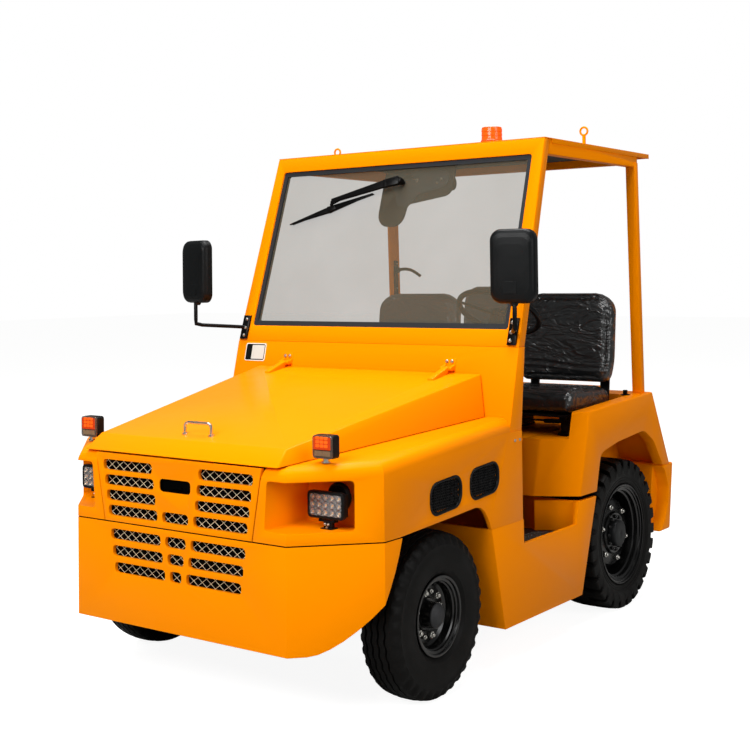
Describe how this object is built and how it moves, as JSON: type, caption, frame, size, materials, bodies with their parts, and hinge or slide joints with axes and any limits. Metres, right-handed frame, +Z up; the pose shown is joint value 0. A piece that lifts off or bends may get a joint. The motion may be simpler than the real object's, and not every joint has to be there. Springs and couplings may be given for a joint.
{
  "type": "airport baggage tug",
  "caption": "Compact airport baggage tow tractor with slotted bumper and grille, open-sided cab under a flat roof, side steps, bench of seats and stepped rear tow hitch.",
  "frame": {"origin": "centre of the vehicle's footprint at ground level, under the middle of its overall box", "axes": "+Z up; -Y towards the nose, +Y towards the tow hitch; +X is the vehicle's left side"},
  "size_m": [1.9012, 2.96, 2.242],
  "materials": {
    "paint_amber": "glossy amber-orange paint",
    "paint_black": "satin black paint",
    "cast_grey": "dark grey painted casting",
    "rubber": "black tyre rubber",
    "seal_rubber": "dull black rubber seal",
    "vinyl": "black seat vinyl",
    "plastic_black": "dull black plastic",
    "steel_zinc": "zinc-plated steel",
    "glass": "clear greyish safety glass",
    "lens_amber": "amber lamp plastic",
    "motor_grey": "grey painted bracket and motor"
  },
  "bodies": {
    "chassis": {"front_bumper": "paint_amber", "grille_panel": "paint_amber", "grille_screen": "paint_black", "radiator": "paint_black", "front_fender_left": "paint_amber", "front_fender_right": "paint_amber", "cowl": "paint_amber", "side_step_left": "paint_amber", "side_step_right": "paint_amber", "cab_floor": "paint_black", "seat_platform": "paint_amber", "rear_fender_left": "paint_amber", "rear_fender_right": "paint_amber", "rear_bumper": "paint_amber", "chassis_frame": "paint_black", "engine_block": "cast_grey", "front_axle": "paint_black", "drive_axle": "cast_grey", "windscreen_frame": "paint_amber", "windscreen_seal": "seal_rubber", "windscreen_glass": "glass", "roof_frame": "paint_amber", "roof_panel": "paint_amber", "beacon": "lens_amber", "dashboard": "plastic_black", "steering_column": "plastic_black", "seat_cushion_left": "vinyl", "seat_cushion_middle": "vinyl", "seat_cushion_right": "vinyl", "seat_back_left": "vinyl", "seat_back_middle": "vinyl", "seat_back_right": "vinyl", "seat_shell_left": "plastic_black", "seat_shell_middle": "plastic_black", "seat_shell_right": "plastic_black", "headlamp_left": "plastic_black", "headlamp_right": "plastic_black", "turn_lamp_left": "lens_amber", "turn_lamp_right": "lens_amber", "mirror_left": "plastic_black", "mirror_right": "plastic_black", "horn": "plastic_black", "wiper_motor": "motor_grey"},
    "bonnet": {"bonnet": "paint_amber", "bonnet_handle": "steel_zinc"},
    "knuckle_left": {"knuckle_left": "cast_grey"},
    "knuckle_right": {"knuckle_right": "cast_grey"},
    "tie_rod": {"tie_rod": "cast_grey"},
    "wheel_front_left": {"front_rim_left": "paint_black", "front_tyre_left": "rubber"},
    "wheel_front_right": {"front_rim_right": "paint_black", "front_tyre_right": "rubber"},
    "wheel_rear_left": {"rear_rim_left": "paint_black", "rear_tyre_left": "rubber"},
    "wheel_rear_right": {"rear_rim_right": "paint_black", "rear_tyre_right": "rubber"},
    "steering_wheel": {"steering_wheel": "plastic_black"},
    "wiper": {"wiper": "plastic_black"},
    "hitch_pin": {"hitch_pin": "steel_zinc"}
  },
  "joints": [
    {"name": "bonnet_lift", "type": "hinge", "parent": "chassis", "child": "bonnet", "pos_m": [0, -0.328, 1.173], "axis": [-1, 0, 0], "range_deg": [0, 60]},
    {"name": "steer_left", "type": "hinge", "parent": "chassis", "child": "knuckle_left", "pos_m": [0.5645, -0.88, 0.308], "axis": [0, 0, 1], "range_deg": [-35, 35]},
    {"name": "steer_right", "type": "hinge", "parent": "chassis", "child": "knuckle_right", "pos_m": [-0.5645, -0.88, 0.308], "axis": [0, 0, 1], "range_deg": [-35, 35]},
    {"name": "tie_rod_swivel", "type": "hinge", "parent": "knuckle_left", "child": "tie_rod", "pos_m": [0.5645, -0.75, 0.278], "axis": [0, 0, 1], "range_deg": [-35, 35]},
    {"name": "spin_front_left", "type": "hinge", "parent": "knuckle_left", "child": "wheel_front_left", "pos_m": [0.686, -0.88, 0.308], "axis": [1, 0, 0], "continuous": true},
    {"name": "spin_front_right", "type": "hinge", "parent": "knuckle_right", "child": "wheel_front_right", "pos_m": [-0.686, -0.88, 0.308], "axis": [1, 0, 0], "continuous": true},
    {"name": "spin_rear_left", "type": "hinge", "parent": "chassis", "child": "wheel_rear_left", "pos_m": [0.66, 0.685, 0.347], "axis": [1, 0, 0], "continuous": true},
    {"name": "spin_rear_right", "type": "hinge", "parent": "chassis", "child": "wheel_rear_right", "pos_m": [-0.66, 0.685, 0.347], "axis": [1, 0, 0], "continuous": true},
    {"name": "steering_wheel_turn", "type": "hinge", "parent": "chassis", "child": "steering_wheel", "pos_m": [0.43, 0.136, 1.395], "axis": [0, 0.5299, 0.848], "continuous": true},
    {"name": "wiper_sweep", "type": "hinge", "parent": "chassis", "child": "wiper", "pos_m": [0.028, -0.02828, 1.993], "axis": [0, -0.9517, 0.307], "range_deg": [0, 150]},
    {"name": "hitch_pin_lift", "type": "slide", "parent": "chassis", "child": "hitch_pin", "axis": [0, 0, 1], "range_m": [0, 0.2]}
  ],
  "couplings": [
    {"joint": "steer_right", "follows": "steer_left", "ratio": 1},
    {"joint": "tie_rod_swivel", "follows": "steer_left", "ratio": -1}
  ]
}
